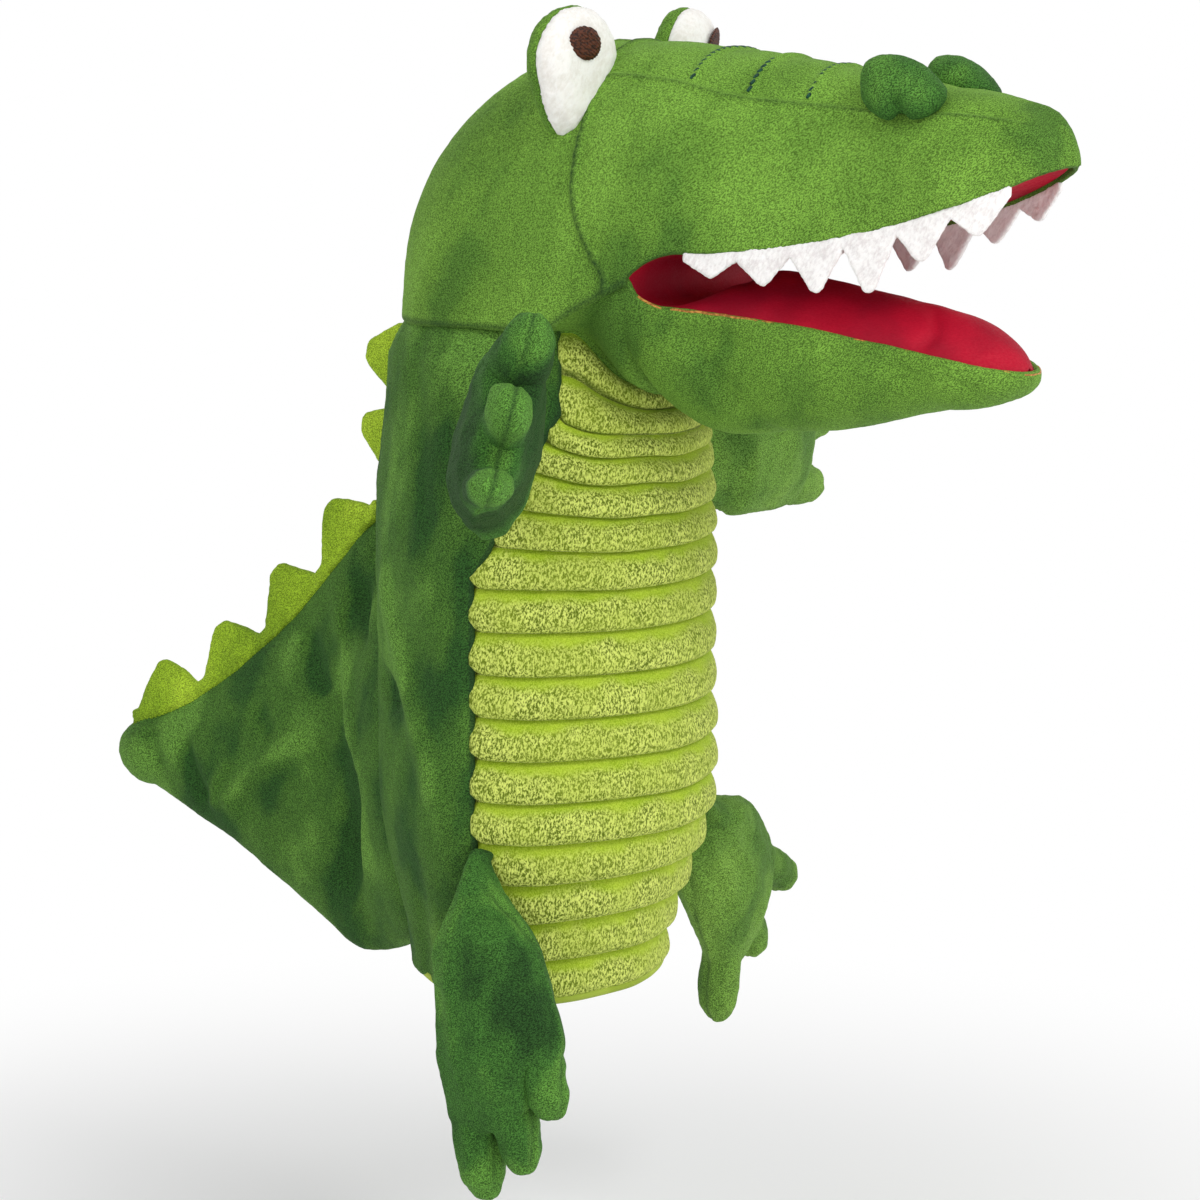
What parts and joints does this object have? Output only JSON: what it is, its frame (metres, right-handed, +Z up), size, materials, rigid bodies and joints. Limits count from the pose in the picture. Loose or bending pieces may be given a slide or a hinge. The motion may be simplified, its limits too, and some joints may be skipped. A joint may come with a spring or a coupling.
{
  "type": "moving mouth puppet",
  "caption": "Plush crocodile hand puppet: a ribbed sleeve for the hand, a head whose mouth opens on a fold, swinging arms and legs, and a crested tail.",
  "frame": {"origin": "centre of the hand opening, at the bottom edge of the hem", "axes": "+Z up along the sleeve, -Y the way the puppet faces, +X the puppet's left side"},
  "size_m": [0.2766, 0.3633, 0.3738],
  "materials": {
    "green_plush": "short-pile plush",
    "deep_green_plush": "short-pile plush",
    "lime_velour": "napped velour, quilted",
    "lime_plush": "short-pile plush",
    "red_lining": "smooth brushed lining",
    "lime_lining": "smooth lining",
    "white_felt": "felt",
    "white_plush": "short-pile plush",
    "brown_thread": "satin stitch",
    "poly_filling": "loose fibre",
    "mouth_board": "matt board"
  },
  "bodies": {
    "body": {"belly_panel": "lime_velour", "belly_batting": "poly_filling", "back_panel_left": "green_plush", "back_panel_right": "green_plush", "hand_lining": "lime_lining", "hem_band": "lime_lining", "back_crest": "lime_plush", "tail_gusset": "green_plush"},
    "neck": {"neck_band": "green_plush"},
    "head": {"skull_panel_left": "green_plush", "skull_panel_right": "green_plush", "snout_side_left": "green_plush", "snout_side_right": "green_plush", "snout_top_panel": "green_plush", "skull_filling": "poly_filling", "snout_filling": "poly_filling", "upper_mouth_board": "mouth_board", "upper_palate": "red_lining", "finger_pocket": "lime_lining", "mouth_fold": "red_lining", "teeth_left": "white_felt", "teeth_right": "white_felt", "nostril_left": "deep_green_plush", "nostril_right": "deep_green_plush", "eye_back_left": "green_plush", "eye_back_right": "green_plush", "eye_front_left": "white_plush", "eye_front_right": "white_plush", "pupil_left": "brown_thread", "pupil_right": "brown_thread"},
    "lower_jaw": {"chin_panel": "green_plush", "chin_filling": "poly_filling", "lower_mouth_board": "mouth_board", "lower_palate": "red_lining", "thumb_pocket": "lime_lining", "cheek_gusset_left": "green_plush", "cheek_gusset_right": "green_plush"},
    "tail": {"tail_panel_left": "green_plush", "tail_panel_right": "green_plush", "tail_filling": "poly_filling", "tail_crest": "lime_plush"},
    "arm_left": {"arm_left": "deep_green_plush"},
    "arm_right": {"arm_right": "deep_green_plush"},
    "leg_left": {"leg_left": "deep_green_plush"},
    "leg_right": {"leg_right": "deep_green_plush"}
  },
  "joints": [
    {"name": "neck_turn", "type": "hinge", "parent": "body", "child": "neck", "pos_m": [0, 0, 0.2], "axis": [0, 0, 1], "range_deg": [-15, 15]},
    {"name": "head_nod", "type": "hinge", "parent": "neck", "child": "head", "pos_m": [0, 0, 0.2], "axis": [1, 0, 0], "range_deg": [-12, 6], "deforming": ["neck_band"]},
    {"name": "jaw_hinge", "type": "hinge", "parent": "head", "child": "lower_jaw", "pos_m": [0, -0.057, 0.23], "axis": [1, 0, 0], "range_deg": [-20, 12], "deforming": ["cheek_gusset_left", "cheek_gusset_right"]},
    {"name": "tail_wag", "type": "hinge", "parent": "body", "child": "tail", "pos_m": [0, 0.067, 0.06], "axis": [0, 0, 1], "range_deg": [-22, 22], "stiffness_Nm_per_rad": 0.15, "deforming": ["tail_gusset"]},
    {"name": "arm_swing_left", "type": "hinge", "parent": "body", "child": "arm_left", "pos_m": [0.05303, -0.01869, 0.163], "axis": [-0.0944, 0.0259, 0.9952], "range_deg": [-30, 30], "stiffness_Nm_per_rad": 0.1},
    {"name": "leg_swing_left", "type": "hinge", "parent": "body", "child": "leg_left", "pos_m": [0.05478, -0.01219, 0.052], "axis": [-0.269, -0.9632, 0], "range_deg": [-30, 35], "stiffness_Nm_per_rad": 0.12},
    {"name": "arm_swing_right", "type": "hinge", "parent": "body", "child": "arm_right", "pos_m": [-0.05303, -0.01869, 0.163], "axis": [0.0944, 0.0259, 0.9952], "range_deg": [-30, 30], "stiffness_Nm_per_rad": 0.1},
    {"name": "leg_swing_right", "type": "hinge", "parent": "body", "child": "leg_right", "pos_m": [-0.05478, -0.01219, 0.052], "axis": [0.269, -0.9632, 0], "range_deg": [-35, 8], "stiffness_Nm_per_rad": 0.12}
  ]
}
